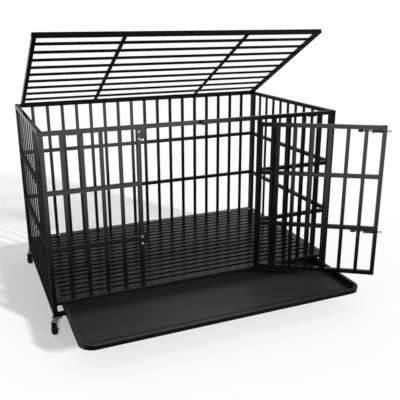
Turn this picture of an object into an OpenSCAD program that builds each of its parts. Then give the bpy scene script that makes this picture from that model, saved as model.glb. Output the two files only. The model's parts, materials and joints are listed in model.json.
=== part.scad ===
// Heavy duty dog crate on four swivel casters, in millimetres.
// X runs along the front, with the door hinge towards +X. The front faces -Y and +Z is up.
// The origin is the middle of the crate, at the underside of the frame.
// The door, the lid and the tray are drawn open.

/* [Frame] */
// Length along the front
crate_l = 1430; // [1280:10:1580]
// Depth from the front face to the rear face
crate_w = 860; // [780:10:940]
// Height of the frame without the casters
crate_h = 830; // [750:10:910]
// Side of the square frame tubes
tube = 18; // [16:0.5:19]
// Width of the flat bars across their face
bar_w = 17; // [14:0.5:19]
// Thickness of the flat bars
bar_t = 7; // [5:0.5:8]
// Upright bars in each front bay
bay_bars = 4; // [3:1:5]
// Upright bars in the back
back_bars = 17; // [14:1:18]
// Upright bars in each side
side_bars = 9; // [7:1:10]

/* [Floor] */
// Height of the floor's top above the underside of the frame
floor_top = 72; // [70:1:84]
// Width of a flat floor slat
slat_w = 28; // [24:1:32]
// Thickness of a flat floor slat
slat_t = 12; // [10:0.5:13]
// Slats between the front and rear floor rails
slats = 16; // [13:1:17]
// Depth of the bearers under the slats
bearer_t = 8; // [6:0.5:9]

/* [Tray] */
// Gap between the tray's rim and each side panel
tray_side_gap = 27; // [15:1:60]
// Depth of the tray over its rim
tray_w = 820; // [700:10:822]
// Height of the tray
tray_h = 28; // [22:1:32]
// Thickness of the tray sheet
tray_t = 2.5; // [2:0.1:3]
// Width of the flat rim
tray_rim = 14; // [10:1:18]
// Radius of the tray's corners over the rim
tray_r = 64; // [45:1:90]
// How far the tray is pulled out
tray_out = 373; // [0:1:500]

/* [Door] */
// Width of the doorway between the door posts
doorway = 575; // [515:5:615]
// Upright bars in the door
door_bars = 6; // [5:1:6]
// Gap between the door and each door post
door_gap = 3; // [2.5:0.1:3.5]
// Gap between the door's top and the header
door_top_gap = 6.5; // [2:0.5:8]
// Angle the door stands open
door_open = 147; // [0:1:175]

/* [Lid] */
// Bars along the lid
lid_bars = 9; // [7:1:10]
// Gap between the lid and each side panel
lid_side_gap = 8; // [6:0.5:10]
// Angle the lid stands open
lid_open = 28.3; // [0:0.1:90]

/* [Latches] */
// Radius of the slide bolt rods
rod_r = 4; // [3.5:0.1:4.2]
// Length of a rod's tip beyond the door
rod_tip = 20; // [18:0.5:24]
// Length of a slide bolt's housing
housing_l = 45; // [40:1:52]
// Radius of the lid catch's knob
catch_knob_r = 11; // [9:0.5:13]

/* [Casters] */
// Height of a caster below the frame
caster_h = 75; // [72:1:80]
// Radius of a wheel
wheel_r = 25; // [23:0.5:26]
// Width of a wheel
wheel_w = 20; // [18:0.5:22]
// Offset of a wheel's axle from its swivel
trail = 22; // [20:0.5:24]
// Direction that the casters are turned
caster_yaw = -25; // [-90:1:90]
// Swing of a brake lever
brake_swing = 20; // [15:1:22]

/* [Hidden] */
// Sub-parts
$fn = 48;

// Colours
coat = [0.07, 0.07, 0.08];
zinc = [0.72, 0.72, 0.74];
black_plastic = [0.05, 0.05, 0.05];
tray_grey = [0.14, 0.14, 0.15];

// Overrun of every cut, set-back of a rail's end inside a post, and clearances of running and loose fits
over = 1;
tuck = 1;
run_clear = 0.05;
loose = 0.3;
hex_sides = 6;

// Frame planes
half_l = crate_l / 2;
half_w = crate_w / 2;
front_in = -half_w + tube;
back_in = half_w - tube;
side_in = half_l - tube;
header_bottom = crate_h - tube;
sill_bottom = floor_top - tube;
sill_mid = floor_top - tube / 2;
header_mid = crate_h - tube / 2;
third = (header_mid - sill_mid) / 3;
mid_zs = [sill_mid + third, sill_mid + 2 * third];
panel_zs = concat([tube / 2, sill_mid], mid_zs, [header_mid]);
post_x = doorway / 2 + tube / 2;

// Corner bolts, at shares of the frame's height
corner_shares = [0.14, 0.53, 0.88];
corner_zs = [for (s = corner_shares) s * crate_h];
corner_bolt_r = 3;
corner_head_r = 5;
corner_head_t = 4;
corner_bite_share = 0.4;

// Floor
floor_under = floor_top - slat_t;
bearer_w = 16;
bearer_share = 0.33;
bracket_t = 4;
bracket_w = 40;
bracket_side_shares = [-0.9, 0.03, 0.9];
bracket_back_share = 0.76;
floor_bolt_r = 3;
floor_head_r = 6;
floor_head_t = 3.5;
floor_nut_r = 5;
floor_nut_t = 4;
floor_bolt_side = side_in - slat_w / 2;
floor_bolt_spots = concat(
    [for (sx = [-1, 1]) for (s = bracket_side_shares) [sx * floor_bolt_side, s * half_w]],
    [for (sx = [-1, 1]) [sx * bracket_back_share * half_l, back_in - slat_w / 2]]
);

// Tray
tray_l = 2 * (side_in - tray_side_gap);
tray_z = tube + loose;
tray_front_inset = 2;
tray_slope = 6;
tray_hem = 8;
tray_foot_r = tray_r - tray_rim - tray_slope;

// Door, drawn shut and then swung about its hinge
door_y = -half_w - loose;
door_half = doorway / 2 - door_gap;
door_sill_gap = 10;
door_z0 = floor_top + door_sill_gap;
door_z1 = header_bottom - door_top_gap;
door_mid_y = door_y + tube / 2;
stile_x = door_half - tube / 2;
door_bar_xs = spread(-stile_x, stile_x, door_bars);
door_bar_y = door_y + tube - bar_t / 2;
door_zs = concat([door_z0 + tube / 2], mid_zs, [door_z1 - tube / 2]);
barrel_r = 6;
pin_r = 3;
pin_head_r = 4.5;
pin_head_t = 2;
leaf_t = 3;
leaf_w = 14;
knuckle_side = 18;
knuckle_mid = 24;
barrel_rise = 7;
door_axis_x = doorway / 2 - door_gap / 2;
door_axis_y = -half_w - barrel_rise;
door_hinge_shares = [0.19, 0.53, 0.87];
door_hinge_zs = [for (s = door_hinge_shares) s * crate_h];

// Slide bolts, in front of the door's bars
housing_h = 14;
housing_d = 12;
rod_guide = 0.5;
bolt_y = door_bar_y - bar_t / 2 - rod_guide - rod_r;
knob_r = 6.5;
knob_l = 22;
knob_bar_gap = 6;
knob_wall = 4;
rod_inner_x = door_bar_xs[0] + bar_w / 2 + knob_bar_gap + knob_l;
upper_rod_z = door_z1 - tube - housing_h / 2;
lower_rod_z = mid_zs[0] - tube / 2 - housing_h / 2;
rod_zs = [upper_rod_z, lower_rod_z];

// Keepers on the latch post
keeper_t = 3;
keeper_l = 46;
keeper_round = 22;
keeper_below = 17;
keeper_above = 28;
keeper_low_bolt = -10;
keeper_high_bolt = 22;
keeper_bolt_r = 2.5;
keeper_bore_r = 2.7;
keeper_head_r = 5;
keeper_head_t = 3.5;
keeper_nut_r = 4.5;
keeper_nut_t = 3.5;
keeper_bolt_zs = [for (z = rod_zs) for (dz = [keeper_low_bolt, keeper_high_bolt]) z + dz];

// Lid, drawn shut and then swung about its hinge
lid_half = side_in - lid_side_gap;
lid_front_gap = 13;
lid_back_gap = 10;
lid_y0 = front_in + lid_front_gap;
lid_y1 = back_in - lid_back_gap;
lid_z = header_bottom + loose;
lid_barrel_r = 4;
lid_pin_r = 2;
lid_pin_head_r = 3;
lid_tab_t = 5;
lid_axis_y = back_in - lid_back_gap / 2;
lid_axis_z = crate_h - lid_barrel_r;
lid_hinge_share = 0.64;
lid_hinge_xs = [-lid_hinge_share * half_l, 0, lid_hinge_share * half_l];
lid_rest_share = 0.814;
lid_rest_w = 40;
lid_rest_t = 4;
lid_rest_lap = 16;

// Lid catch
catch_pin_r = 4;
catch_bore_r = 5.5;
catch_reach = 12;
catch_bore_l = 14;
catch_knob_l = 14;
catch_neck_share = 0.55;
catch_rim = 2;

// Casters
caster_x = half_l - tube / 2;
caster_y = half_w - tube / 2;
stem_r = 5;
stem_l = 30;
stem_clear = 0.1;
king_r = 5;
cup_r = 17;
cup_t = 3;
hub_r = 11;
hub_l = 12;
hub_top = -cup_t - loose;
hub_bottom = hub_top - hub_l;
king_head_r = 8;
king_head_t = 3;
king_head_top = hub_bottom - loose;
crown_t = 3;
cheek_t = 2.5;
cheek_gap = 1.5;
cheek_in = wheel_w / 2 + cheek_gap;
cheek_out = cheek_in + cheek_t;
cheek_front = 10;
cheek_back = 20;
cheek_back_z = -34;
axle_z = wheel_r - caster_h;
axle_r = 4;
axle_boss_r = 10;
axle_head_r = 7;
axle_head_t = 4;
wheel_hub_share = 0.4;
wheel_web_share = 0.5;
wheel_rim_share = 0.7;
wheel_tyre_share = 0.76;
tread_round = 3;
brake_y = 14;
brake_z = -26;
brake_pin_r = 3;
brake_hub_r = 6;
brake_side_gap = 1;
brake_half = cheek_in - brake_side_gap;
brake_nose_t = 6;
brake_root_share = 0.72;
brake_pedal_l = 32;
brake_pedal_t = 4;
brake_toe_l = 18;
brake_toe_half = 14;
brake_dy = -trail - brake_y;
brake_dz = axle_z - brake_z;
brake_nose_l = norm([brake_dy, brake_dz]) - wheel_r - loose;
brake_nose_angle = atan2(-brake_dy, -brake_dz) - brake_swing;

// Places of n bars with equal gaps between two members
function spread(a, b, n) = [for (k = [1:n]) a + (b - a) * k / (n + 1)];

// A box between two corners
module block(lo, hi) {
    translate(lo) cube(hi - lo);
}

// Round rods along the three axes
module rod_x(x0, x1, r) {
    translate([x0, 0, 0]) rotate([0, 90, 0]) cylinder(h = x1 - x0, r = r);
}

module rod_y(y0, y1, r) {
    translate([0, y0, 0]) rotate([-90, 0, 0]) cylinder(h = y1 - y0, r = r);
}

module rod_z(z0, z1, r, sides = $fn) {
    translate([0, 0, z0]) cylinder(h = z1 - z0, r = r, $fn = sides);
}

// A square tube centred on a line, along each axis
module tube_x(x0, x1, y, z, side = tube) {
    block([x0, y - side / 2, z - side / 2], [x1, y + side / 2, z + side / 2]);
}

module tube_y(y0, y1, x, z, side = tube) {
    block([x - side / 2, y0, z - side / 2], [x + side / 2, y1, z + side / 2]);
}

module tube_z(z0, z1, x, y, side = tube) {
    block([x - side / 2, y - side / 2, z0], [x + side / 2, y + side / 2, z1]);
}

// An upright flat bar centred on a line
module bar_z(z0, z1, x, y, wx, wy) {
    block([x - wx / 2, y - wy / 2, z0], [x + wx / 2, y + wy / 2, z1]);
}

// Movements from the shut places to the drawn ones
module door_pose() {
    translate([door_axis_x, door_axis_y, 0])
        rotate([0, 0, door_open])
            translate([-door_axis_x, -door_axis_y, 0]) children();
}

module lid_pose() {
    translate([0, lid_axis_y, lid_axis_z])
        rotate([-lid_open, 0, 0])
            translate([0, -lid_axis_y, -lid_axis_z]) children();
}

module caster_pose(sx, sy) {
    translate([sx * caster_x, sy * caster_y, 0]) rotate([0, 0, caster_yaw]) children();
}

// Front panel
module front_header() color(coat) difference() {
    tube_x(-half_l, half_l, -caster_y, header_mid);
    translate([0, 0, header_mid]) rod_y(-half_w - over, front_in + over, catch_pin_r + run_clear);
}

module front_sill() color(coat) tube_x(-side_in, side_in, -caster_y, sill_mid);

module front_base_rail() color(coat) tube_x(-side_in, side_in, -caster_y, tube / 2);

module corner_post(sx) {
    difference() {
        tube_z(0, header_bottom, sx * caster_x, -caster_y);
        translate([sx * caster_x, -caster_y, 0]) rod_z(-over, stem_l + over, stem_r + stem_clear);
        corner_bores(sx, -1);
    }
}

module front_left_post() color(coat) corner_post(-1);

module front_right_post() color(coat) corner_post(1);

module front_bay(sx) {
    for (x = spread(sx * caster_x, sx * post_x, bay_bars))
        bar_z(floor_top, header_bottom, x, -caster_y, bar_w, bar_t);
    for (z = mid_zs) tube_x(min(sx * side_in, sx * post_x), max(sx * side_in, sx * post_x), -caster_y, z);
    tube_z(floor_top, header_bottom, sx * post_x, -caster_y);
}

module front_left_bay() color(coat) difference() {
    front_bay(-1);
    for (z = rod_zs) translate([0, bolt_y, z])
        rod_x(-post_x - tube / 2 - over, -post_x + tube / 2 + over, rod_r + rod_guide);
    for (z = keeper_bolt_zs) translate([-post_x, 0, z]) rod_y(-half_w - over, front_in + over, keeper_bore_r);
}

module front_right_bay() color(coat) front_bay(1);

// Bores of the corner bolts of one corner, through the side post and into the front or rear stile
module corner_bores(sx, sy) {
    bite = back_in + corner_bite_share * tube + over;
    inner = back_in - tube - over;
    for (z = corner_zs) translate([sx * caster_x, 0, z])
        rod_y(min(sy * inner, sy * bite), max(sy * inner, sy * bite), corner_bolt_r + loose);
}

// Back and sides
module back_panel() color(coat) difference() {
    union() {
        for (sx = [-1, 1]) tube_z(0, crate_h, sx * caster_x, caster_y);
        for (z = panel_zs) tube_x(-half_l + tuck, half_l - tuck, caster_y, z);
        for (x = spread(-caster_x, caster_x, back_bars))
            bar_z(sill_mid, header_mid, x, caster_y, bar_w, bar_t);
    }
    for (sx = [-1, 1]) {
        translate([sx * caster_x, caster_y, 0]) rod_z(-over, stem_l + over, stem_r + stem_clear);
        corner_bores(sx, 1);
    }
}

module side_panel(sx) {
    difference() {
        union() {
            for (y = [front_in + tube / 2, back_in - tube / 2]) tube_z(0, crate_h, sx * caster_x, y);
            for (z = panel_zs) tube_y(front_in + tuck, back_in - tuck, sx * caster_x, z);
            for (y = spread(front_in + tube / 2, back_in - tube / 2, side_bars))
                bar_z(tube / 2, header_mid, sx * caster_x, y, bar_t, bar_w);
        }
        for (sy = [-1, 1]) corner_bores(sx, sy);
    }
}

module left_panel() color(coat) side_panel(-1);

module right_panel() color(coat) side_panel(1);

module corner_bolts() color(coat)
    for (sx = [-1, 1]) for (sy = [-1, 1]) for (z = corner_zs)
        translate([sx * caster_x, 0, z]) {
            inner = back_in - tube;
            tip = back_in + corner_bite_share * tube;
            rod_y(min(sy * inner, sy * tip), max(sy * inner, sy * tip), corner_bolt_r);
            head = inner - corner_head_t;
            rod_y(min(sy * inner, sy * head), max(sy * inner, sy * head), corner_head_r);
        }

// Floor
module floor_grid() color(coat) difference() {
    union() {
        rail_y = back_in - slat_w / 2;
        for (y = concat([-rail_y, rail_y], spread(-rail_y, rail_y, slats)))
            block([-side_in, y - slat_w / 2, floor_under], [side_in, y + slat_w / 2, floor_top]);
        for (sx = [-1, 1]) translate([sx * floor_bolt_side - slat_w / 2, -rail_y, floor_under])
            cube([slat_w, 2 * rail_y, slat_t]);
        for (sx = [-1, 1])
            translate([sx * bearer_share * half_l - bearer_w / 2, -rail_y, floor_under - bearer_t])
                cube([bearer_w, 2 * rail_y, bearer_t]);
    }
    for (p = floor_bolt_spots) translate(p) rod_z(floor_under - over, floor_top + over, floor_bolt_r + loose);
}

module floor_brackets() color(coat)
    for (p = floor_bolt_spots) difference() {
        on_side = abs(p[0]) > floor_bolt_side - over;
        size = on_side ? [slat_w, bracket_w] : [bracket_w, slat_w];
        translate([p[0] - size[0] / 2, p[1] - size[1] / 2, floor_under - bracket_t])
            cube([size[0], size[1], bracket_t]);
        translate(p) rod_z(sill_bottom - over, floor_under + over, floor_bolt_r + loose);
    }

module floor_bolts() color(zinc)
    for (p = floor_bolt_spots) translate(p) {
        nut_top = floor_under - bracket_t;
        rod_z(nut_top - floor_nut_t, floor_top, floor_bolt_r);
        rod_z(floor_top, floor_top + floor_head_t, floor_head_r);
        rod_z(nut_top - floor_nut_t, nut_top, floor_nut_r, hex_sides);
    }

module center_runner() color(coat) tube_y(front_in, back_in, 0, tube / 2);

// Tray: one section swept round a rounded rectangle, and a flat bottom
module tray_section() {
    polygon([
        [tray_foot_r - tray_t, 0], [tray_foot_r, 0], [tray_foot_r + tray_slope, tray_h - tray_t],
        [tray_r - tray_t, tray_h - tray_t], [tray_r - tray_t, tray_h - tray_hem], [tray_r, tray_h - tray_hem],
        [tray_r, tray_h], [tray_foot_r + tray_slope - tray_t, tray_h], [tray_foot_r - tray_t, tray_t]
    ]);
}

module tray_sweep(l, w) {
    for (k = [0:3]) {
        along = k % 2 == 0 ? l / 2 - tray_r : w / 2 - tray_r;
        across = k % 2 == 0 ? w / 2 - tray_r : l / 2 - tray_r;
        rotate([0, 0, 90 * k]) {
            translate([along, 0, 0]) rotate([90, 0, 0])
                linear_extrude(height = 2 * across, center = true) tray_section();
            translate([along, across, 0]) rotate_extrude(angle = 90) tray_section();
        }
    }
}

module rounded_plate(l, w, r, t) {
    linear_extrude(height = t) {
        square([l, w - 2 * r], center = true);
        square([l - 2 * r, w], center = true);
        for (sx = [-1, 1]) for (sy = [-1, 1]) translate([sx * (l / 2 - r), sy * (w / 2 - r)]) circle(r = r);
    }
}

module tray() color(tray_grey)
    translate([0, -half_w + tray_front_inset + tray_w / 2 - tray_out, tray_z]) {
        foot = tray_foot_r - tray_t / 2;
        inset = 2 * (tray_r - foot);
        tray_sweep(tray_l, tray_w);
        rounded_plate(tray_l - inset, tray_w - inset, foot, tray_t);
    }

// Door
module door_panel() color(coat) door_pose() difference() {
    union() {
        for (sx = [-1, 1]) tube_z(door_z0, door_z1, sx * stile_x, door_mid_y);
        for (z = door_zs) tube_x(-door_half + tuck, door_half - tuck, door_mid_y, z);
        for (x = door_bar_xs) bar_z(door_z0 + tube / 2, door_z1 - tube / 2, x, door_bar_y, bar_w, bar_t);
    }
    for (z = rod_zs) translate([0, bolt_y, z])
        rod_x(-door_half - over, -stile_x + tube / 2 + over, rod_r + run_clear);
}

// Knuckle length ranges of a three-knuckle hinge about its middle
side_ranges = [
    [-knuckle_mid / 2 - loose - knuckle_side, -knuckle_mid / 2 - loose],
    [knuckle_mid / 2 + loose, knuckle_mid / 2 + loose + knuckle_side]
];
mid_range = [-knuckle_mid / 2, knuckle_mid / 2];
pin_end = side_ranges[1][1];

module knuckle(range, leaf_lo, leaf_hi, barrel = barrel_r, pin = pin_r) {
    difference() {
        union() {
            rod_z(range[0], range[1], barrel);
            block([leaf_lo[0], leaf_lo[1], range[0]], [leaf_hi[0], leaf_hi[1], range[1]]);
        }
        rod_z(range[0] - over, range[1] + over, pin + run_clear);
    }
}

module hinge_pin(pin = pin_r, head = pin_head_r) {
    rod_z(-pin_end, pin_end, pin);
    rod_z(-pin_end - pin_head_t, -pin_end, head);
    rod_z(pin_end, pin_end + pin_head_t, head);
}

leaf_root = 3.2;
module door_hinge_post_knuckles() color(coat)
    for (z = door_hinge_zs) translate([door_axis_x, door_axis_y, z])
        for (range = side_ranges)
            knuckle(range, [leaf_root, barrel_rise - leaf_t], [leaf_root + leaf_w, barrel_rise]);

module door_hinge_door_knuckles() color(coat) door_pose()
    for (z = door_hinge_zs) translate([door_axis_x, door_axis_y, z]) {
        face = barrel_rise - loose;
        knuckle(mid_range, [-leaf_root - leaf_w, face - leaf_t], [-leaf_root, face]);
    }

module door_hinge_pins() color(coat)
    for (z = door_hinge_zs) translate([door_axis_x, door_axis_y, z]) hinge_pin();

// Slide bolts of the door
module bolt_housing(z) {
    door_pose() difference() {
        inner = -door_half + tube;
        block(
            [inner, bolt_y - housing_d / 2, z - housing_h / 2],
            [inner + housing_l, bolt_y + housing_d / 2, z + housing_h / 2]
        );
        translate([0, bolt_y, z]) rod_x(inner - over, inner + housing_l + over, rod_r + run_clear);
    }
}

module bolt_rod(z) {
    door_pose() translate([0, bolt_y, z]) rod_x(-door_half - rod_tip, rod_inner_x - knob_wall, rod_r);
}

module bolt_knob(z) {
    door_pose() translate([0, bolt_y, z]) difference() {
        rod_x(rod_inner_x - knob_l, rod_inner_x, knob_r);
        rod_x(rod_inner_x - knob_l - over, rod_inner_x - knob_wall, rod_r + run_clear);
    }
}

module upper_bolt_housing() color(black_plastic) bolt_housing(upper_rod_z);

module upper_bolt_rod() color(zinc) bolt_rod(upper_rod_z);

module upper_bolt_knob() color(black_plastic) bolt_knob(upper_rod_z);

module lower_bolt_housing() color(black_plastic) bolt_housing(lower_rod_z);

module lower_bolt_rod() color(zinc) bolt_rod(lower_rod_z);

module lower_bolt_knob() color(black_plastic) bolt_knob(lower_rod_z);

// A keeper plate behind the latch post, with a rounded free corner
module keeper(z) {
    x0 = -post_x - tube / 2;
    x1 = x0 + keeper_l;
    z0 = z - keeper_below;
    z1 = z + keeper_above;
    difference() {
        translate([0, front_in + keeper_t, 0]) rotate([90, 0, 0]) linear_extrude(height = keeper_t) {
            translate([x0, z0 + keeper_round]) square([keeper_l, z1 - z0 - keeper_round]);
            translate([x0, z0]) square([keeper_l - keeper_round, z1 - z0]);
            translate([x1 - keeper_round, z0 + keeper_round]) circle(r = keeper_round);
        }
        for (dz = [keeper_low_bolt, keeper_high_bolt]) translate([-post_x, 0, z + dz])
            rod_y(front_in - over, front_in + keeper_t + over, keeper_bore_r);
    }
}

module upper_keeper() color(coat) keeper(upper_rod_z);

module lower_keeper() color(coat) keeper(lower_rod_z);

module keeper_bolts() color(zinc)
    for (z = keeper_bolt_zs) translate([-post_x, 0, z]) {
        nut_y = front_in + keeper_t;
        rod_y(-half_w, nut_y + keeper_nut_t, keeper_bolt_r);
        rod_y(-half_w - keeper_head_t, -half_w, keeper_head_r);
        rod_y(nut_y, nut_y + keeper_nut_t, keeper_nut_r, $fn = hex_sides);
    }

// Lid
module lid_panel() color(coat) lid_pose() difference() {
    lid_mid_z = lid_z + tube / 2;
    rail_y0 = lid_y0 + tube / 2;
    rail_y1 = lid_y1 - tube / 2;
    union() {
        for (y = [rail_y0, rail_y1]) tube_x(-lid_half, lid_half, y, lid_mid_z);
        for (sx = [-1, 1]) tube_y(lid_y0 + tuck, lid_y1 - tuck, sx * (lid_half - tube / 2), lid_mid_z);
        low = lid_mid_z - bar_t / 2;
        high = lid_mid_z + bar_t / 2;
        for (x = [-post_x, post_x]) block([x - bar_w / 2, rail_y0, low], [x + bar_w / 2, rail_y1, high]);
        reach = lid_half - tube / 2;
        for (y = spread(rail_y0, rail_y1, lid_bars))
            block([-reach, y - bar_w / 2, low], [reach, y + bar_w / 2, high]);
    }
    translate([0, 0, header_mid]) rod_y(lid_y0 - over, lid_y0 + catch_bore_l, catch_bore_r);
}

// Turns a hinge built along Z so that it runs along X, with its tabs facing the same way
module along_x() {
    rotate([0, -90, 0]) rotate([0, 0, 90]) children();
}

module lid_hinge_rail_knuckles() color(coat)
    for (x = lid_hinge_xs) translate([x, lid_axis_y, lid_axis_z]) along_x()
        for (range = side_ranges)
            knuckle(range, [0, -lid_tab_t / 2], [lid_back_gap / 2, lid_tab_t / 2], lid_barrel_r, lid_pin_r);

module lid_hinge_lid_knuckles() color(coat) lid_pose()
    for (x = lid_hinge_xs) translate([x, lid_axis_y, lid_axis_z]) along_x()
        knuckle(mid_range, [-lid_back_gap / 2, -lid_tab_t / 2], [0, lid_tab_t / 2], lid_barrel_r, lid_pin_r);

module lid_hinge_pins() color(coat)
    for (x = lid_hinge_xs) translate([x, lid_axis_y, lid_axis_z]) along_x()
        hinge_pin(lid_pin_r, lid_pin_head_r);

module lid_rests() color(coat)
    for (sx = [-1, 1])
        translate([sx * lid_rest_share * half_l - lid_rest_w / 2, -half_w, header_bottom - lid_rest_t])
            cube([lid_rest_w, tube + lid_front_gap + lid_rest_lap, lid_rest_t]);

module lid_catch_pin() color(zinc) translate([0, 0, header_mid])
    rod_y(-half_w - catch_knob_l + knob_wall, lid_y0 + catch_reach, catch_pin_r);

// A turned knob: a neck against the header and a wider grip
module lid_catch_knob() color(black_plastic) translate([0, -half_w - loose, header_mid])
    rotate([90, 0, 0]) rotate_extrude() polygon([
        [catch_pin_r + run_clear, 0], [catch_knob_r * catch_neck_share, 0],
        [catch_knob_r - catch_rim, catch_rim], [catch_knob_r, 2 * catch_rim],
        [catch_knob_r, catch_knob_l - catch_rim], [catch_knob_r - catch_rim, catch_knob_l],
        [0, catch_knob_l], [0, catch_knob_l - knob_wall - loose],
        [catch_pin_r + run_clear, catch_knob_l - knob_wall - loose]
    ]);

// Casters, built with the axle along X and trailing towards -Y
module stem_shape() {
    rod_z(-cup_t, stem_l, stem_r);
    rod_z(-cup_t, 0, cup_r);
    rod_z(king_head_top - king_head_t, -cup_t, king_r);
    rod_z(king_head_top - king_head_t, king_head_top, king_head_r);
}

module cheek_outline() {
    polygon([
        [cheek_back, hub_bottom + crown_t], [-trail - cheek_front, hub_bottom + crown_t],
        [-trail - axle_boss_r, axle_z], [-trail + axle_boss_r, axle_z], [cheek_back, cheek_back_z]
    ]);
    translate([-trail, axle_z]) circle(r = axle_boss_r);
}

module fork_shape() {
    difference() {
        union() {
            rod_z(hub_bottom, hub_top, hub_r);
            block(
                [-cheek_out, -trail - cheek_front, hub_bottom],
                [cheek_out, cheek_back, hub_bottom + crown_t]
            );
            for (x = [-cheek_out, cheek_in]) translate([x, 0, 0]) rotate([90, 0, 90])
                linear_extrude(height = cheek_t) cheek_outline();
            translate([0, brake_y, brake_z]) rod_x(-cheek_out, cheek_out, brake_pin_r);
        }
        rod_z(hub_bottom - over, hub_top + over, king_r + run_clear);
        translate([0, -trail, axle_z]) rod_x(-cheek_out - over, cheek_out + over, axle_r + run_clear);
    }
}

module axle_shape() {
    translate([0, -trail, axle_z]) {
        rod_x(-cheek_out - axle_head_t, cheek_out + axle_head_t, axle_r);
        rod_x(-cheek_out - axle_head_t, -cheek_out, axle_head_r);
        rod_x(cheek_out, cheek_out + axle_head_t, axle_head_r, $fn = hex_sides);
    }
}

module wheel_shape() {
    side = wheel_w / 2;
    web = wheel_web_share * side;
    hub = cheek_in - loose;
    bore = axle_r + run_clear;
    half_section = [
        [bore, hub], [wheel_hub_share * wheel_r, hub], [wheel_hub_share * wheel_r, web],
        [wheel_rim_share * wheel_r, web], [wheel_tyre_share * wheel_r, side],
        [wheel_r - tread_round, side], [wheel_r, side - tread_round]
    ];
    mirrored = [for (k = [len(half_section) - 1:-1:0]) [half_section[k][0], -half_section[k][1]]];
    translate([0, -trail, axle_z]) rotate([0, 90, 0])
        rotate_extrude() polygon(concat(half_section, mirrored));
}

// Side outline of a brake lever about its pivot: hub, pedal arm and the nose that meets the tyre
module brake_outline() {
    root = brake_root_share * brake_hub_r;
    difference() {
        union() {
            circle(r = brake_hub_r);
            translate([root, -brake_pedal_t / 2]) square([brake_pedal_l - root, brake_pedal_t]);
            rotate(-brake_nose_angle) translate([-brake_nose_t / 2, -brake_nose_l])
                square([brake_nose_t, brake_nose_l - root]);
        }
        circle(r = brake_pin_r + run_clear);
    }
}

module brake_shape() {
    translate([0, brake_y, brake_z]) {
        rotate([90, 0, 90]) linear_extrude(height = 2 * brake_half, center = true) brake_outline();
        block(
            [-brake_toe_half, brake_pedal_l - brake_toe_l, -brake_pedal_t / 2],
            [brake_toe_half, brake_pedal_l, brake_pedal_t]
        );
    }
}

module caster_stem_fl() color(zinc) caster_pose(-1, -1) stem_shape();

module caster_fork_fl() color(zinc) caster_pose(-1, -1) fork_shape();

module caster_axle_fl() color(zinc) caster_pose(-1, -1) axle_shape();

module caster_wheel_fl() color(black_plastic) caster_pose(-1, -1) wheel_shape();

module caster_brake_fl() color(black_plastic) caster_pose(-1, -1) brake_shape();

module caster_stem_fr() color(zinc) caster_pose(1, -1) stem_shape();

module caster_fork_fr() color(zinc) caster_pose(1, -1) fork_shape();

module caster_axle_fr() color(zinc) caster_pose(1, -1) axle_shape();

module caster_wheel_fr() color(black_plastic) caster_pose(1, -1) wheel_shape();

module caster_brake_fr() color(black_plastic) caster_pose(1, -1) brake_shape();

module caster_stem_rl() color(zinc) caster_pose(-1, 1) stem_shape();

module caster_fork_rl() color(zinc) caster_pose(-1, 1) fork_shape();

module caster_axle_rl() color(zinc) caster_pose(-1, 1) axle_shape();

module caster_wheel_rl() color(black_plastic) caster_pose(-1, 1) wheel_shape();

module caster_brake_rl() color(black_plastic) caster_pose(-1, 1) brake_shape();

module caster_stem_rr() color(zinc) caster_pose(1, 1) stem_shape();

module caster_fork_rr() color(zinc) caster_pose(1, 1) fork_shape();

module caster_axle_rr() color(zinc) caster_pose(1, 1) axle_shape();

module caster_wheel_rr() color(black_plastic) caster_pose(1, 1) wheel_shape();

module caster_brake_rr() color(black_plastic) caster_pose(1, 1) brake_shape();

// Drawing
front_header();
front_sill();
front_base_rail();
front_left_post();
front_right_post();
front_left_bay();
front_right_bay();
back_panel();
left_panel();
right_panel();
floor_grid();
floor_brackets();
floor_bolts();
center_runner();
tray();
door_panel();
door_hinge_post_knuckles();
door_hinge_door_knuckles();
door_hinge_pins();
upper_bolt_housing();
upper_bolt_rod();
upper_bolt_knob();
lower_bolt_housing();
lower_bolt_rod();
lower_bolt_knob();
upper_keeper();
lower_keeper();
keeper_bolts();
lid_panel();
lid_hinge_rail_knuckles();
lid_hinge_lid_knuckles();
lid_hinge_pins();
lid_catch_pin();
lid_catch_knob();
lid_rests();
corner_bolts();
caster_stem_fl();
caster_fork_fl();
caster_axle_fl();
caster_wheel_fl();
caster_brake_fl();
caster_stem_fr();
caster_fork_fr();
caster_axle_fr();
caster_wheel_fr();
caster_brake_fr();
caster_stem_rl();
caster_fork_rl();
caster_axle_rl();
caster_wheel_rl();
caster_brake_rl();
caster_stem_rr();
caster_fork_rr();
caster_axle_rr();
caster_wheel_rr();
caster_brake_rr();
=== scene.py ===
"""Looks of a square-tube crate on casters, dressed over its CAD frame in metres."""

import json
from math import cos, pi, radians, sin

import bmesh
import bpy
from mathutils import Matrix, Vector


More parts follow.
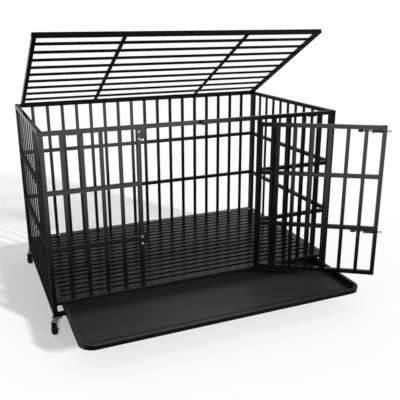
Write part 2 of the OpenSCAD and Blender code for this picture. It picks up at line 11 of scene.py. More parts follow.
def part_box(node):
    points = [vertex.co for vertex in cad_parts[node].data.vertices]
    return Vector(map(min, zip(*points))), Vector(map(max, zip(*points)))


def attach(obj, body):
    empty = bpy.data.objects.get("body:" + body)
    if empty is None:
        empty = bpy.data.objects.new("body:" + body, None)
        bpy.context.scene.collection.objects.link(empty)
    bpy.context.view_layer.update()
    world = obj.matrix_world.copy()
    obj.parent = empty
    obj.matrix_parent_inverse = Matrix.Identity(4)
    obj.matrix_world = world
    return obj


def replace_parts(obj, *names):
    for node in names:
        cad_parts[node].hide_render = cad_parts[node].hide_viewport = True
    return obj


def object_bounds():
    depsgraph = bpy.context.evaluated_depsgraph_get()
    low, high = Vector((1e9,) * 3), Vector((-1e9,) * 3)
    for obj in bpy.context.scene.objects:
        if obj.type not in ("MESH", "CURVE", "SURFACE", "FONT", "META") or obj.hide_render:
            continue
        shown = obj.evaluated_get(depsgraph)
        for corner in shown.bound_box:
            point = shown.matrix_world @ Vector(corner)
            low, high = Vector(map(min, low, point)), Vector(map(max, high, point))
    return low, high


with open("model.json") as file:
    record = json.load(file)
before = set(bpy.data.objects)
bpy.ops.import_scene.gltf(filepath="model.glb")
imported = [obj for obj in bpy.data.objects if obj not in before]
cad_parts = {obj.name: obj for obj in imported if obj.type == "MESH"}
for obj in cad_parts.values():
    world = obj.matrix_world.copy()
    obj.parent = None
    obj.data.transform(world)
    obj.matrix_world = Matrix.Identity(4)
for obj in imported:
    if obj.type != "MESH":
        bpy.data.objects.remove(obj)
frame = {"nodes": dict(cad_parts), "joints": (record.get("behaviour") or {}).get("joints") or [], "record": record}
cad_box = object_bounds()
nodes = frame["nodes"]
slot_of = {part["node"]: part["material_slot"] for part in frame["record"]["subparts"]}

# Viewing angle of the photograph, in degrees, and the camera's place
VIEW_AZIMUTH = -22.96
VIEW_ELEVATION = 17.62
VIEW_ROLL = -0.12
CAMERA_PLACE = Vector((-1.0002, -2.7628, 1.2637))
FOCAL_PIXELS = 572.3
IMAGE_PIXELS = 400
SENSOR_MM = 36.0


class Signal:
    """A shader socket that can be used in Python arithmetic."""

    def __init__(self, finish, socket):
        self.finish = finish
        self.socket = socket

    def _math(self, operation, first, second):
        made = self.finish.node("ShaderNodeMath", {"operation": operation}, {0: first, 1: second})
        return made.out()

    def __add__(self, other):
        return self._math("ADD", self, other)

    def __sub__(self, other):
        return self._math("SUBTRACT", self, other)

    def __mul__(self, other):
        return self._math("MULTIPLY", self, other)

    def __truediv__(self, other):
        return self._math("DIVIDE", self, other)

    def __radd__(self, other):
        return self._math("ADD", other, self)

    def __rsub__(self, other):
        return self._math("SUBTRACT", other, self)

    def __rmul__(self, other):
        return self._math("MULTIPLY", other, self)

    def __rtruediv__(self, other):
        return self._math("DIVIDE", other, self)

    def larger(self, other):
        return self._math("MAXIMUM", self, other)


class Made:
    """A node that was just made, with its outputs as signals."""

    def __init__(self, finish, node):
        self.finish = finish
        self.made = node

    def out(self, name=0):
        return Signal(self.finish, self.made.outputs[name])


class Finish:
    """One node tree of a material or of the world."""

    def __init__(self, name, owner=None):
        self.owner = owner or bpy.data.materials.new(name)
        self.owner.use_nodes = True
        self.tree = self.owner.node_tree
        self.tree.nodes.clear()

    def node(self, kind, settings=None, sockets=None):
        made = self.tree.nodes.new(kind)
        for key, value in (settings or {}).items():
            if key == "stops":
                self._set_stops(made.color_ramp, value)
            else:
                setattr(made, key, value)
        for key, value in (sockets or {}).items():
            if isinstance(value, Signal):
                self.tree.links.new(value.socket, made.inputs[key])
            else:
                made.inputs[key].default_value = value
        return Made(self, made)

    def _set_stops(self, ramp, stops):
        while len(ramp.elements) < len(stops):
            ramp.elements.new(1.0)
        for element, (place, grey) in zip(ramp.elements, stops):
            element.position = place
            element.color = (grey, grey, grey, 1.0)

    def place(self):
        return self.node("ShaderNodeTexCoord").out("Object")

    def axes(self, vector):
        """Splits a place or a direction into X, Y and Z."""
        return self.node("ShaderNodeSeparateXYZ", None, {"Vector": vector})

    def noise(self, scale, detail=3.0, roughness=0.55):
        sockets = {"Vector": self.place(), "Scale": scale, "Detail": detail, "Roughness": roughness}
        return self.node("ShaderNodeTexNoise", None, sockets).out("Fac")

    def ramp(self, value, *stops):
        return self.node("ShaderNodeValToRGB", {"stops": stops}, {"Fac": value}).out("Color")

    def mix(self, amount, first, second):
        colours = {"Factor": amount, 6: (*first, 1.0), 7: (*second, 1.0)}
        return self.node("ShaderNodeMix", {"data_type": "RGBA"}, colours).out(2)

    def bump(self, height, strength, distance):
        sockets = {"Height": height, "Strength": strength, "Distance": distance}
        return self.node("ShaderNodeBump", None, sockets).out("Normal")

    def surface(self, **sockets):
        """Feeds a Principled shader's sockets, named in small letters, and gives the material."""
        named = {}
        for key, value in sockets.items():
            named[key.replace("_", " ").title().replace("Ior", "IOR")] = value
        shader = self.node("ShaderNodeBsdfPrincipled", None, named)
        self.node("ShaderNodeOutputMaterial", None, {"Surface": shader.out("BSDF")})
        return self.owner


# Colours of each finish, from its darker to its lighter patches
COAT_COLOURS = ((0.0009, 0.0009, 0.0010), (0.0022, 0.0022, 0.0024))
ZINC_COLOURS = ((0.62, 0.63, 0.65), (0.80, 0.80, 0.79))
PLASTIC_COLOURS = ((0.009, 0.009, 0.0095), (0.017, 0.017, 0.018))
# The tray's lighter colour is dust with painted top light on level faces; its darker colour is the upright faces
# and the painted shade
TRAY_COLOURS = ((0.0013, 0.0013, 0.0014), (0.0440, 0.0440, 0.0446))
RUBBER_COLOURS = ((0.010, 0.010, 0.010), (0.034, 0.033, 0.031))
# Where a noise pattern begins and ends to show as wear or dust
RUBBED_STOPS = ((0.58, 0.0), (0.8, 1.0))
SCUFF_STOPS = ((0.62, 0.0), (0.78, 1.0))
TREAD_DUST_STOPS = ((0.45, 0.0), (0.8, 1.0))
# Dust and painted light on the tray: lighter on level faces, as dust and painted top light, and darker by its
# place along X and Y, in metres, shifted to lie between 0 and 1, as painted shade towards the ends, most at the
# right end, and under the sill and the crate
LEVEL_DUST_AND_LIGHT_STOPS = ((0.75, 0.0), (0.95, 1.0))
SHADE_X_SHIFT = 0.5
SHADE_X_STOPS = ((0.0, 0.75), (0.35, 1.0), (0.6, 0.9), (1.0, 0.35))
SHADE_Y_SHIFT = 1.0
SHADE_Y_STOPS = ((0.22, 1.0), (0.38, 0.77), (0.505, 0.81), (0.545, 0.38))


def powder_coat():
    """Satin black powder coat: fine orange peel, a little dust and slightly rubbed patches."""
    coat = Finish("black_powder_coat")
    peel = coat.noise(scale=700.0, detail=2.0)
    cloud = coat.noise(scale=9.0, detail=4.0)
    rubbed = coat.ramp(coat.noise(scale=60.0, detail=5.0), *RUBBED_STOPS)
    return coat.surface(
        base_color=coat.mix(cloud * 0.6 + rubbed * 0.25, *COAT_COLOURS),
        roughness=0.14 + cloud * 0.06 + rubbed * 0.05,
        normal=coat.bump(peel, strength=0.10, distance=0.0006),
        specular_ior_level=0.7,
    )


def zinc_plate():
    """Bright zinc: a pale blue-grey metal with cloudy patches and fine rub marks."""
    zinc = Finish("zinc_plate")
    cloud = zinc.noise(scale=140.0, detail=4.0)
    rub = zinc.noise(scale=900.0, detail=2.0)
    return zinc.surface(
        base_color=zinc.mix(cloud, *ZINC_COLOURS),
        metallic=0.72 + cloud * 0.16,
        roughness=0.22 + cloud * 0.16 + rub * 0.06,
        normal=zinc.bump(rub, strength=0.06, distance=0.0004),
    )


def black_plastic():
    """Moulded black plastic with a fine spark-eroded grain."""
    plastic = Finish("black_plastic")
    grain = plastic.noise(scale=1600.0, detail=2.0)
    cloud = plastic.noise(scale=40.0, detail=3.0)
    return plastic.surface(
        base_color=plastic.mix(cloud, *PLASTIC_COLOURS),
        roughness=0.42 + cloud * 0.14,
        normal=plastic.bump(grain, strength=0.16, distance=0.0003),
        specular_ior_level=0.5,
    )


def tray_sheet():
    """Matt moulded tray sheet with a pebbled grain, scuffs, fine dust and painted top light where it is level, and
    painted shade towards its ends and under the sill and the crate.
    """
    sheet = Finish("tray_sheet")
    pebble = sheet.noise(scale=420.0, detail=3.0)
    cloud = sheet.noise(scale=5.0, detail=5.0)
    scratches = sheet.noise(scale=30.0, detail=6.0, roughness=0.7)
    scuff = sheet.ramp(scratches, *SCUFF_STOPS)
    facing = sheet.axes(sheet.node("ShaderNodeTexCoord").out("Normal"))
    # Level faces lighter: dust and painted top light
    level = sheet.ramp(facing.out("Z"), *LEVEL_DUST_AND_LIGHT_STOPS)
    spot = sheet.axes(sheet.place())
    # Painted shade: darker towards the ends, most at the right end, and under the sill and the crate
    painted_shade = sheet.ramp(spot.out("X") + SHADE_X_SHIFT, *SHADE_X_STOPS)
    painted_shade = painted_shade * sheet.ramp(spot.out("Y") + SHADE_Y_SHIFT, *SHADE_Y_STOPS)
    # Dust, painted top light and painted shade together set the tray's colour
    pale_share = level * painted_shade * (0.86 + cloud * 0.2 + scuff * 0.08)
    return sheet.surface(
        base_color=sheet.mix(pale_share, *TRAY_COLOURS),
        roughness=0.2 + level * 0.27 + cloud * 0.08 + scuff * 0.06,
        normal=sheet.bump(pebble, strength=0.22, distance=0.0005),
        specular_ior_level=1.0,
    )


def wheel_rubber():
    """Solid black rubber with a dusty tread."""
    rubber = Finish("wheel_rubber")
    grain = rubber.noise(scale=900.0, detail=3.0)
    pale_share = rubber.ramp(rubber.noise(scale=120.0, detail=5.0), *TREAD_DUST_STOPS)
    return rubber.surface(
        base_color=rubber.mix(pale_share, *RUBBER_COLOURS),
        roughness=0.6 + pale_share * 0.2,
        normal=rubber.bump(grain, strength=0.2, distance=0.0004),
        specular_ior_level=0.35,
    )


FINISHES = {
    "black_powder_coat": powder_coat(),
    "zinc_plate": zinc_plate(),
    "black_plastic": black_plastic(),
    "tray_sheet": tray_sheet(),
    "wheel_rubber": wheel_rubber(),
}


def finish_node(name, material):
    """Puts a finish on every material slot of a CAD node."""
    node = nodes[name]
    if not node.material_slots:
        node.data.materials.append(material)
    for slot in node.material_slots:
        slot.link = "OBJECT"
        slot.material = material


# Points nearer than this are merged, in metres
MERGE = 1e-6
# Faces flatter than this are joined, and edges sharper than this are rounded, in degrees
FLAT_ANGLE = 0.5
SHARP_ANGLE = 40
# Rounding of edges, in metres
TUBE_ROUND = 0.0014
SLAT_ROUND = 0.0022
HOUSING_ROUND = 0.0018
TRAY_ROUND = 0.0011
ROUND_STEPS = 2
TRAY_ROUND_STEPS = 3


def soften_edges(name, width, segments=ROUND_STEPS):
    """Rounds a CAD node's sharp edges with live modifiers, as on rolled tube and pressed plate."""
    node = nodes[name]
    weld = node.modifiers.new("weld", "WELD")
    weld.merge_threshold = MERGE
    flat = node.modifiers.new("flat", "DECIMATE")
    flat.decimate_type = "DISSOLVE"
    flat.angle_limit = radians(FLAT_ANGLE)
    bevel = node.modifiers.new("round", "BEVEL")
    bevel.width = width
    bevel.segments = segments
    bevel.limit_method = "ANGLE"
    bevel.angle_limit = radians(SHARP_ANGLE)


for node_name, slot_name in slot_of.items():
    finish_node(node_name, FINISHES[slot_name])

TUBE_NODES = (
    "front_header", "front_sill", "front_base_rail", "front_left_post", "front_right_post",
    "front_left_bay", "front_right_bay", "back_panel", "right_panel", "center_runner", "door_panel",
    "lid_panel",
)
for node_name in TUBE_NODES:
    soften_edges(node_name, TUBE_ROUND)
soften_edges("floor_grid", SLAT_ROUND)
for node_name in ("upper_bolt_housing", "lower_bolt_housing"):
    soften_edges(node_name, HOUSING_ROUND)
soften_edges("tray", TRAY_ROUND, TRAY_ROUND_STEPS)

UP = Vector((0, 0, 1))
ALONG_X = Vector((1, 0, 0))
ALONG_Y = Vector((0, 1, 0))
SIDES = (-1, 1)

# Rows of openings between the sill and the header
TIERS = 3

# Sizes of the frame, read from its CAD boxes, in metres
header_low, header_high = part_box("front_header")
sill_low, sill_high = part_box("front_sill")
door_low, door_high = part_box("door_panel")
lid_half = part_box("lid_panel")[1].x
doorway_half = -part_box("front_left_bay")[1].x
joints = {joint["name"]: joint for joint in frame["joints"]}
tube = header_high.z - header_low.z
half_l = header_high.x
front_y = header_low.y
front_mid = front_y + tube / 2
side_mid = half_l - tube / 2
side_in = half_l - tube
post_x = doorway_half + tube / 2
header_mid = header_high.z - tube / 2
sill_mid = sill_high.z - tube / 2
mid_step = (header_mid - sill_mid) / TIERS
mid_zs = [sill_mid + k * mid_step for k in range(1, TIERS)]
mid_faces = [z + side * tube / 2 for z in mid_zs for side in SIDES]

# Flat bars of each panel, thinner in the left panel, where light shows between them at a low angle
BAR_WIDTH = 0.017
BAR_THICKNESS = 0.007
LEFT_BAR_THICKNESS = 0.0059
BAY_BARS = 4
BACK_BARS = 17
SIDE_BARS = 9
DOOR_BARS = 6
LID_BARS = 9


def spread(first, last, count):
    """Places of bars with equal gaps between two members."""
    return [first + (last - first) * k / (count + 1) for k in range(1, count + 1)]


def keep_shape(name, mesh):
    """Stores a finished bmesh as a shape that can be stamped many times."""
    shape = bpy.data.meshes.new(name)
    mesh.to_mesh(shape)
    mesh.free()
    return shape


def add_block(mesh, low, high):
    """Adds a box between two corners."""
    corners = bmesh.ops.create_cube(mesh, size=1.0)["verts"]
    bmesh.ops.scale(mesh, vec=high - low, verts=corners)
    bmesh.ops.translate(mesh, vec=(low + high) / 2, verts=corners)


def round_edges(mesh, edges, width, steps=ROUND_STEPS):
    """Rounds edges of a mesh."""
    bmesh.ops.bevel(
        mesh, geom=edges, offset=width, segments=steps, profile=0.5, affect="EDGES", material=-1,
    )


def spin_about_x(mesh, profile, steps, closed=False):
    """Spins points of (along, radius) about X, as a closed ring where asked, merging the seam."""
    line = [mesh.verts.new((reach, 0.0, radius)) for reach, radius in profile]
    pairs = list(zip(line, line[1:]))
    if closed:
        pairs.append((line[-1], line[0]))
    outline = line + [mesh.edges.new(pair) for pair in pairs]
    bmesh.ops.spin(
        mesh, geom=outline, cent=(0, 0, 0), axis=ALONG_X, angle=2 * pi, steps=steps, use_merge=True,
    )
    bmesh.ops.remove_doubles(mesh, verts=mesh.verts, dist=MERGE)


def turned(name, profile, steps, closed=False):
    """A smooth shape turned about X."""
    mesh = bmesh.new()
    spin_about_x(mesh, profile, steps, closed)
    bmesh.ops.recalc_face_normals(mesh, faces=mesh.faces)
    for face in mesh.faces:
        face.smooth = True
    return keep_shape(name, mesh)


def stamp(mesh, shape, centre, axis, length=1.0, radius=1.0):
    """Adds a shape to a mesh, with its X axis turned to a direction and scaled along and across."""
    first = len(mesh.verts)
    mesh.from_mesh(shape)
    mesh.verts.ensure_lookup_table()
    turn = Vector(axis).to_track_quat("X", "Z").to_matrix().to_4x4()
    place = Matrix.Translation(centre) @ turn @ Matrix.Diagonal((length, radius, radius, 1.0))
    bmesh.ops.transform(mesh, matrix=place, verts=mesh.verts[first:])


def add_object(name, data):
    """Makes an object and links it to the scene."""
    made = bpy.data.objects.new(name, data)
    bpy.context.scene.collection.objects.link(made)
    return made


def dress(name, body, slot, mesh, place=None):
    """Makes a piece of a mesh, moves it to its drawn place and lets it ride on a body."""
    if place:
        bmesh.ops.transform(mesh, matrix=place, verts=mesh.verts)
    data = keep_shape(name, mesh)
    data.materials.append(FINISHES[slot])
    piece = add_object(name, data)
    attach(piece, body)
    return piece


def swung(joint):
    """The turn that takes a hinged panel from its shut place to its drawn one."""
    pivot = Matrix.Translation(joint["pos_m"])
    open_angle = radians(-joint["range_deg"][0])
    return pivot @ Matrix.Rotation(open_angle, 4, Vector(joint["axis"])) @ pivot.inverted()


door_swing = swung(joints["door_hinge"])
lid_swing = swung(joints["lid_hinge"])

# Weld beads
WELD_RADIUS = 0.0016
WELD_RIPPLES = 4
WELD_SIDES = 6
RIPPLE_SHARE = 0.8
bead_points = 2 * WELD_RIPPLES
bead_swells = [0.0] + [1.0 if k % 2 else RIPPLE_SHARE for k in range(1, bead_points)] + [0.0]
bead_profile = [(k / bead_points - 0.5, swell) for k, swell in enumerate(bead_swells)]
weld_bead = turned("weld_bead", bead_profile, WELD_SIDES)


def weld_bars(mesh, places, wide, heights, faces=SIDES, thickness=BAR_THICKNESS):
    """Beads where upright bars meet the rails, on the chosen faces of each bar."""
    across = UP.cross(wide)
    for place in places:
        for height in heights:
            for side in faces:
                centre = place + UP * height + across * side * thickness / 2
                stamp(mesh, weld_bead, centre, wide, BAR_WIDTH, WELD_RADIUS)


def weld_rails(mesh, ends, heights, run):
    """Beads above and below the rails' ends, where they meet a post."""
    for end in ends:
        for height in heights:
            for side in SIDES:
                centre = end + UP * (height + side * tube / 2)
                stamp(mesh, weld_bead, centre, run, tube, WELD_RADIUS)


def weld_front(name, side):
    """Welds of one front bay."""
    mesh = bmesh.new()
    bars = [Vector((x, front_mid, 0)) for x in spread(side * side_mid, side * post_x, BAY_BARS)]
    weld_bars(mesh, bars, ALONG_X, [sill_high.z, *mid_faces, header_low.z])
    ends = [Vector((side * x, front_mid, 0)) for x in (side_in, post_x + tube / 2)]
    weld_rails(mesh, ends, mid_zs, ALONG_Y)
    dress(name, "frame", "black_powder_coat", mesh)


def weld_back():
    """Welds of the back panel."""
    mesh = bmesh.new()
    bars = [Vector((x, -front_mid, 0)) for x in spread(-side_mid, side_mid, BACK_BARS)]
    weld_bars(mesh, bars, ALONG_X, [sill_high.z, *mid_faces, header_low.z])
    ends = [Vector((side * side_in, -front_mid, 0)) for side in SIDES]
    weld_rails(mesh, ends, [tube / 2, sill_mid, *mid_zs], ALONG_Y)
    dress("back_panel_welds", "frame", "black_powder_coat", mesh)


def weld_side(name, side, thickness):
    """Welds of one side panel."""
    mesh = bmesh.new()
    stile = -front_mid - tube
    bars = [Vector((side * side_mid, y, 0)) for y in spread(-stile, stile, SIDE_BARS)]
    heights = [tube, sill_low.z, sill_high.z, *mid_faces, header_low.z]
    weld_bars(mesh, bars, ALONG_Y, heights, thickness=thickness)
    ends = [Vector((side * side_mid, end * (stile - tube / 2), 0)) for end in SIDES]
    weld_rails(mesh, ends, [tube / 2, sill_mid, *mid_zs], ALONG_X)
    dress(name, "frame", "black_powder_coat", mesh)


# Door, in its shut place
LOOSE = 0.0003
DOOR_GAP = 0.003
OUTER_FACE = (-1,)
door_half = doorway_half - DOOR_GAP
door_face = front_y - LOOSE
door_mid = door_face + tube / 2
door_bar_y = door_face + tube - BAR_THICKNESS / 2
stile_x = door_half - tube / 2
door_bar_xs = spread(-stile_x, stile_x, DOOR_BARS)


def weld_door():
    """Welds of the door, on its outer face."""
    mesh = bmesh.new()
    bars = [Vector((x, door_bar_y, 0)) for x in door_bar_xs]
    heights = [door_low.z + tube, *mid_faces, door_high.z - tube]
    weld_bars(mesh, bars, ALONG_X, heights, OUTER_FACE)
    ends = [Vector((side * (stile_x - tube / 2), door_mid, 0)) for side in SIDES]
    weld_rails(mesh, ends, [door_low.z + tube / 2, *mid_zs, door_high.z - tube / 2], ALONG_Y)
    dress("door_welds", "door", "black_powder_coat", mesh, door_swing)


# Lid, in its shut place
LID_FRONT_GAP = 0.013
LID_BACK_GAP = 0.010
lid_mid_z = header_low.z + LOOSE + tube / 2
lid_front = front_y + tube + LID_FRONT_GAP
lid_back = -front_y - tube - LID_BACK_GAP
lid_rails = (lid_front + tube / 2, lid_back - tube / 2)


def weld_lid():
    """Welds of the lid's long bars and cross bars, above and below."""
    mesh = bmesh.new()
    for level in SIDES:
        height = lid_mid_z + level * BAR_THICKNESS / 2
        for y in spread(*lid_rails, LID_BARS):
            for end in SIDES:
                centre = Vector((end * (lid_half - tube), y, height))
                stamp(mesh, weld_bead, centre, ALONG_Y, BAR_WIDTH, WELD_RADIUS)
        for x in (-post_x, post_x):
            for y in (lid_front + tube, lid_back - tube):
                stamp(mesh, weld_bead, Vector((x, y, height)), ALONG_X, BAR_WIDTH, WELD_RADIUS)
    dress("lid_welds", "lid", "black_powder_coat", mesh, lid_swing)


weld_front("front_left_bay_welds", -1)
weld_front("front_right_bay_welds", 1)
weld_back()
weld_side("left_panel_welds", -1, LEFT_BAR_THICKNESS)
weld_side("right_panel_welds", 1, BAR_THICKNESS)
weld_door()
weld_lid()

# Left panel, whose rails and bars end a little inside what they are welded to
BAR_TUCK = 0.0004


def grille_left():
    """The left panel, whose bars are thin enough for lines of light between them at a low angle."""
    mesh = bmesh.new()
    x = -side_mid
    stile = -front_mid - tube
    rail_zs = (tube / 2, sill_mid, *mid_zs, header_mid)
    half = Vector((tube / 2, tube / 2, 0))
    for y in (-stile, stile):
        add_block(mesh, Vector((x, y, 0)) - half, Vector((x, y, header_high.z)) + half)
    half = Vector((tube / 2, BAR_TUCK - tube / 2, tube / 2))
    for z in rail_zs:
        add_block(mesh, Vector((x, -stile, z)) - half, Vector((x, stile, z)) + half)
    half = Vector((LEFT_BAR_THICKNESS / 2, BAR_WIDTH / 2, BAR_TUCK - tube / 2))
    for y in spread(-stile, stile, SIDE_BARS):
        for low, high in zip(rail_zs, rail_zs[1:]):
            add_block(mesh, Vector((x, y, low)) - half, Vector((x, y, high)) + half)
    round_edges(mesh, mesh.edges[:], TUBE_ROUND)
    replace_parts(dress("left_grille", "frame", "black_powder_coat", mesh), "left_panel")


grille_left()

# Plastic plugs in the open tube ends
PLUG_THICKNESS = 0.003
PLUG_PROUD = 0.0015
PLUG_EDGE = 0.0009
plug_side = tube - 2 * PLUG_EDGE


def tube_plug():
    """A square plug, its rounded outer face towards +X and the tube's end at zero."""
    mesh = bmesh.new()
    low = Vector((PLUG_PROUD - PLUG_THICKNESS, -plug_side / 2, -plug_side / 2))
    add_block(mesh, low, Vector((PLUG_PROUD, plug_side / 2, plug_side / 2)))
    outer = [edge for edge in mesh.edges if all(vert.co.x > 0 for vert in edge.verts)]
    round_edges(mesh, outer, PLUG_EDGE)
    return keep_shape("tube_plug", mesh)


end_plug = tube_plug()


def plug_tubes(name, body, ends, place=None):
    """Plugs at tube ends, given as places and the directions they face."""
    mesh = bmesh.new()
    for centre, facing in ends:
        stamp(mesh, end_plug, centre, facing)
    dress(name, body, "black_plastic", mesh, place)


post_ys = (front_mid + tube, -front_mid - tube, -front_mid)
post_tops = [(side * side_mid, y) for side in SIDES for y in post_ys]
frame_ends = [(Vector((side * half_l, front_mid, header_mid)), ALONG_X * side) for side in SIDES]
frame_ends += [(Vector((x, y, header_high.z)), UP) for x, y in post_tops]
plug_tubes("frame_end_plugs", "frame", frame_ends)
door_ends = [(Vector((side * stile_x, door_mid, door_high.z)), UP) for side in SIDES]
door_ends += [(Vector((side * stile_x, door_mid, door_low.z)), -UP) for side in SIDES]
plug_tubes("door_end_plugs", "door", door_ends, door_swing)
lid_ends = [
    (Vector((side * lid_half, y, lid_mid_z)), ALONG_X * side) for side in SIDES for y in lid_rails
]
plug_tubes("lid_end_plugs", "lid", lid_ends, lid_swing)

# Button heads over the keeper bolts and floor bolts
HEAD_STEPS = 18
# Outline of a head from its foot to its face, in shares of its height and of its radius
HEAD_SHARES = ((0.0, 1.0), (0.45, 1.0), (0.8, 0.93), (1.0, 0.8))
END_SHARE = 0.01
HEX_SIDES = 6
HEX_SHARE = 0.36
HEX_DEPTH_SHARE = 0.3


def button_head(name, radius, height):
    """A domed bolt head with a hexagon socket, standing on zero and facing +X."""
    mesh = bmesh.new()
    profile = [(along * height, across * radius) for along, across in HEAD_SHARES]
    spin_about_x(mesh, profile, HEAD_STEPS)
    near, far = END_SHARE * height, (1 - END_SHARE) * height
    top = [edge for edge in mesh.edges if all(vert.co.x > far for vert in edge.verts)]
    under = [edge for edge in mesh.edges if all(vert.co.x < near for vert in edge.verts)]
    bmesh.ops.edgeloop_fill(mesh, edges=under)
    upright = Matrix.Translation((height, 0, 0)) @ Matrix.Rotation(pi / 2, 4, "Y")
    ring = bmesh.ops.create_circle(
        mesh, segments=HEX_SIDES, radius=HEX_SHARE * radius, matrix=upright,
    )["verts"]
    hexagon = list({edge for vert in ring for edge in vert.link_edges})
    bmesh.ops.subdivide_edges(mesh, edges=hexagon, cuts=HEAD_STEPS // HEX_SIDES - 1)
    hexagon = [edge for edge in mesh.edges if edge.is_wire]
    bmesh.ops.bridge_loops(mesh, edges=top + hexagon)
    sunk = bmesh.ops.extrude_edge_only(mesh, edges=hexagon)["geom"]
    floor_edges = [item for item in sunk if isinstance(item, bmesh.types.BMEdge)]
    floor_edges = [edge for edge in floor_edges if edge.is_boundary]
    low = list({vert for edge in floor_edges for vert in edge.verts})
    bmesh.ops.translate(mesh, vec=(-HEX_DEPTH_SHARE * height, 0, 0), verts=low)
    bmesh.ops.edgeloop_fill(mesh, edges=floor_edges)
    bmesh.ops.recalc_face_normals(mesh, faces=mesh.faces)
    return keep_shape(name, mesh)


KEEPER_HEAD_RADIUS = 0.0052
FLOOR_HEAD_RADIUS = 0.0062
HEAD_HEIGHT = 0.0046
keeper_head = button_head("keeper_head", KEEPER_HEAD_RADIUS, HEAD_HEIGHT)
floor_head = button_head("floor_head", FLOOR_HEAD_RADIUS, HEAD_HEIGHT)

# Slide bolts, in the door's shut place
HOUSING_HEIGHT = 0.014
HOUSING_DEPTH = 0.012
HOUSING_LENGTH = 0.045
ROD_RADIUS = 0.004
ROD_GUIDE = 0.0005
KNOB_RADIUS = 0.0065
KNOB_LENGTH = 0.022
KNOB_BAR_GAP = 0.006
rod_y = door_bar_y - BAR_THICKNESS / 2 - ROD_GUIDE - ROD_RADIUS
housing_start = -door_half + tube
knob_start = door_bar_xs[0] + BAR_WIDTH / 2 + KNOB_BAR_GAP
rod_zs = {
    "upper": door_high.z - tube - HOUSING_HEIGHT / 2,
    "lower": mid_zs[0] - tube / 2 - HOUSING_HEIGHT / 2,
}
KEEPER_BOLT_OFFSETS = (-0.010, 0.022)
keeper_heads = bmesh.new()
for rod_z in rod_zs.values():
    for offset in KEEPER_BOLT_OFFSETS:
        stamp(keeper_heads, keeper_head, Vector((-post_x, front_y, rod_z + offset)), -ALONG_Y)
dress("keeper_bolt_heads", "frame", "zinc_plate", keeper_heads)

# Heads of the floor bolts, the front pair black like the frame and the rest bright
SLAT_WIDTH = 0.028
FRONT_BOLT_SHARE = -0.9
SIDE_BOLT_SHARES = (0.03, 0.9)
BACK_BOLT_SHARE = 0.76
floor_bolt_x = side_in - SLAT_WIDTH / 2
floor_bolt_y = -front_y - tube - SLAT_WIDTH / 2


def head_floor_bolts(name, slot, spots):
    """Button heads over some of the floor bolts."""
    mesh = bmesh.new()
    for x, y in spots:
        stamp(mesh, floor_head, Vector((x, y, sill_high.z)), UP)
    dress(name, "frame", slot, mesh)


black_spots = [(side * floor_bolt_x, FRONT_BOLT_SHARE * -front_y) for side in SIDES]
side_ys = [share * -front_y for share in SIDE_BOLT_SHARES]
bright_spots = [(side * floor_bolt_x, y) for side in SIDES for y in side_ys]
bright_spots += [(side * BACK_BOLT_SHARE * half_l, floor_bolt_y) for side in SIDES]
head_floor_bolts("floor_bolt_heads", "zinc_plate", bright_spots)
head_floor_bolts("front_floor_bolt_heads", "black_powder_coat", black_spots)

# Screws and grips of the slide bolts
SCREW_RADIUS = 0.0027
SCREW_HEIGHT = 0.0035
STOP_SCREW_HEIGHT = 0.007
SCREW_INSET = 0.004
FACE_SCREW_RADIUS = 0.0021
FACE_SCREW_HEIGHT = 0.0011
FACE_SCREW_SHARES = (0.2, 0.75)
GRIP_RINGS = 5
GRIP_PROUD = 0.0006
screw_profile = ((0.0, 0.0), (0.0, 1.0), (0.55, 1.0), (0.85, 0.78), (1.0, 0.4), (1.0, 0.0))
pan_screw = turned("pan_screw", screw_profile, HEAD_STEPS)


def grip_profile(start, length, radius, rings):
    """Outline of a ribbed sleeve, closed inside the knob that it stands on."""
    pitch = length / (2 * rings)
    swells = [GRIP_PROUD if k % 2 else 0.0 for k in range(2 * rings + 1)]
    outer = [(start + k * pitch, radius + swell) for k, swell in enumerate(swells)]
    return outer + [(start + length, radius - GRIP_PROUD), (start, radius - GRIP_PROUD)]


def finish_slide_bolt(name):
    """Screws under and on the housing, a screw under the knob, and rings round the knob."""
    rod_z = rod_zs[name]
    housing = bmesh.new()
    stop = Vector((housing_start + HOUSING_LENGTH - SCREW_INSET, rod_y, rod_z - HOUSING_HEIGHT / 2))
    stamp(housing, pan_screw, stop, -UP, STOP_SCREW_HEIGHT, SCREW_RADIUS)
    for share in FACE_SCREW_SHARES:
        face = Vector((housing_start + share * HOUSING_LENGTH, rod_y - HOUSING_DEPTH / 2, rod_z))
        stamp(housing, pan_screw, face, -ALONG_Y, FACE_SCREW_HEIGHT, FACE_SCREW_RADIUS)
    dress(f"{name}_housing_screws", "door", "zinc_plate", housing, door_swing)
    set_screw = bmesh.new()
    under = Vector((knob_start + KNOB_LENGTH / 2, rod_y, rod_z - KNOB_RADIUS + GRIP_PROUD))
    stamp(set_screw, pan_screw, under, -UP, SCREW_HEIGHT, SCREW_RADIUS)
    dress(f"{name}_knob_screw", f"{name}_bolt", "zinc_plate", set_screw, door_swing)
    sleeve = grip_profile(0.0, KNOB_LENGTH, KNOB_RADIUS, GRIP_RINGS)
    rings = bmesh.new()
    ribbed = turned(f"{name}_sleeve", sleeve, HEAD_STEPS, closed=True)
    stamp(rings, ribbed, Vector((knob_start, rod_y, rod_z)), ALONG_X)
    dress(f"{name}_knob_rings", f"{name}_bolt", "black_plastic", rings, door_swing)


for bolt_name in rod_zs:
    finish_slide_bolt(bolt_name)

